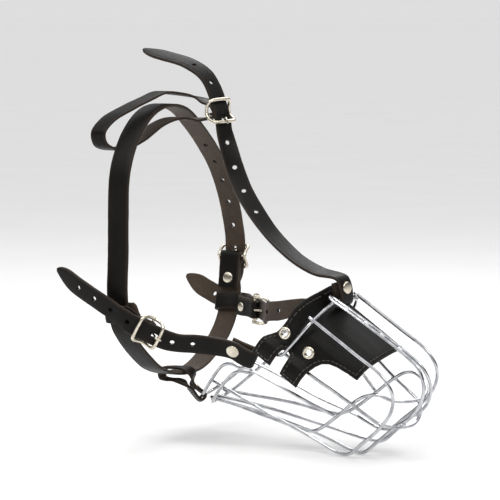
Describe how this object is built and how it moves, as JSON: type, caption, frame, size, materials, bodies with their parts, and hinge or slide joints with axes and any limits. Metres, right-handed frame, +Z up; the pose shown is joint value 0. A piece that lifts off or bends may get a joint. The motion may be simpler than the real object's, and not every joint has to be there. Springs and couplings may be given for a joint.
{
  "type": "basket muzzle",
  "caption": "Welded wire basket muzzle for a large dog, with a leather nose pad, a buckled collar, buckled cheek straps and a head strap.",
  "frame": {"origin": "middle of the cage's rear opening, where the dog's muzzle enters", "axes": "+X forward along the dog's nose, +Y to the dog's left, +Z up"},
  "size_m": [0.2584, 0.1893, 0.2828],
  "materials": {
    "chromed_wire": "bright chrome plate",
    "nickel": "warm nickel plate",
    "black_leather": "satin black, brown flesh side",
    "lining_leather": "matt"
  },
  "bodies": {
    "muzzle": {"cage_top_wire_right": "chromed_wire", "cage_top_wire_left": "chromed_wire", "cage_middle_wire_right": "chromed_wire", "cage_middle_wire_left": "chromed_wire", "cage_side_wire_right": "chromed_wire", "cage_side_wire_left": "chromed_wire", "cage_nose_hoop": "chromed_wire", "cage_band_wire": "chromed_wire", "cage_inner_rim": "chromed_wire", "cage_rear_rim": "chromed_wire", "nose_pad": "black_leather", "nose_pad_lining": "lining_leather", "pad_eyelet_rear_right": "nickel", "pad_eyelet_rear_left": "nickel", "pad_eyelet_front_right": "nickel", "pad_eyelet_front_left": "nickel", "neck_strap": "black_leather", "neck_rivet": "nickel", "head_strap": "black_leather", "head_strap_rivet": "nickel", "head_buckle_strap": "black_leather", "chin_strap": "black_leather", "chin_rivet": "nickel", "cheek_strap_right": "black_leather", "cheek_rivet_right": "nickel", "cheek_buckle_strap_right": "black_leather", "cheek_buckle_rivet_right": "nickel", "cheek_strap_left": "black_leather", "cheek_rivet_left": "nickel", "cheek_buckle_strap_left": "black_leather", "cheek_buckle_rivet_left": "nickel"},
    "neck_frame": {"neck_buckle": "nickel"},
    "neck_tongue": {"neck_prong": "nickel"},
    "cheek_right_frame": {"cheek_right_buckle": "nickel"},
    "cheek_right_tongue": {"cheek_right_prong": "nickel"},
    "cheek_left_frame": {"cheek_left_buckle": "nickel"},
    "cheek_left_tongue": {"cheek_left_prong": "nickel"},
    "head_frame": {"head_buckle": "nickel"},
    "head_tongue": {"head_prong": "nickel"}
  },
  "joints": [
    {"name": "neck_frame_rock", "type": "hinge", "parent": "muzzle", "child": "neck_frame", "pos_m": [-0.09, 0.0846, 0.068], "axis": [1, 0, 0], "range_deg": [-2, 2]},
    {"name": "neck_prong_lift", "type": "hinge", "parent": "neck_frame", "child": "neck_tongue", "pos_m": [-0.09, 0.0846, 0.068], "axis": [-1, 0, 0], "range_deg": [0, 22]},
    {"name": "cheek_right_frame_rock", "type": "hinge", "parent": "muzzle", "child": "cheek_right_frame", "pos_m": [-0.068, -0.074, 0.0285], "axis": [0.48, 0.0571, 0.8754], "range_deg": [-2, 2]},
    {"name": "cheek_right_prong_lift", "type": "hinge", "parent": "cheek_right_frame", "child": "cheek_right_tongue", "pos_m": [-0.068, -0.074, 0.0285], "axis": [-0.48, -0.0571, -0.8754], "range_deg": [0, 22]},
    {"name": "cheek_left_frame_rock", "type": "hinge", "parent": "muzzle", "child": "cheek_left_frame", "pos_m": [-0.058, 0.062, 0.0308], "axis": [-0.0988, 0.0703, -0.9926], "range_deg": [-2, 2]},
    {"name": "cheek_left_prong_lift", "type": "hinge", "parent": "cheek_left_frame", "child": "cheek_left_tongue", "pos_m": [-0.058, 0.062, 0.0308], "axis": [0.0988, -0.0703, 0.9926], "range_deg": [0, 22]},
    {"name": "head_frame_rock", "type": "hinge", "parent": "muzzle", "child": "head_frame", "pos_m": [-0.059, 0.009, 0.178], "axis": [0.4652, 0.8825, 0.0694], "range_deg": [-2, 2]},
    {"name": "head_prong_lift", "type": "hinge", "parent": "head_frame", "child": "head_tongue", "pos_m": [-0.059, 0.009, 0.178], "axis": [-0.4652, -0.8825, -0.0694], "range_deg": [0, 22]}
  ]
}
